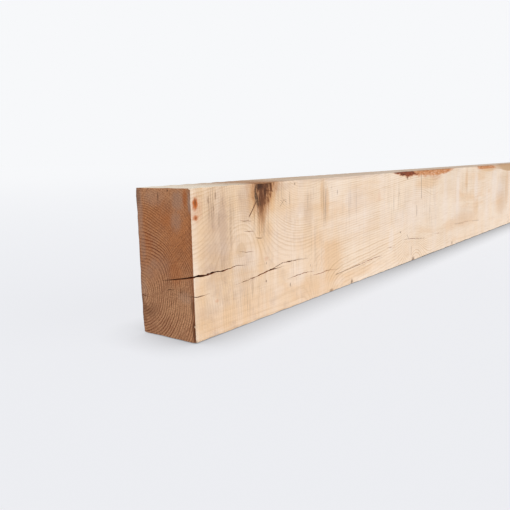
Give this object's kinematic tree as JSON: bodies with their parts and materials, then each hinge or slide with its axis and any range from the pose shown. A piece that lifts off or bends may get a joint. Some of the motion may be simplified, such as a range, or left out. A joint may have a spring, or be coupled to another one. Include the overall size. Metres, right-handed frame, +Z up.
{
  "type": "timber plank",
  "caption": "Rough-sawn softwood timber plank lying on its narrow face, with drying checks in one wide face and its end, and wane with bark along one arris.",
  "frame": {"origin": "middle of the underside, the narrow face that the timber lies on", "axes": "+X along the timber away from the checked end, +Y across its narrow faces away from the checked wide face, +Z up along its wide faces"},
  "size_m": [2.4, 0.075, 0.15],
  "materials": {
    "sawn_softwood": "rough-sawn, untreated, pale side faces and browner end grain"
  },
  "bodies": {
    "root": {"timber_plank": "sawn_softwood"}
  },
  "joints": []
}
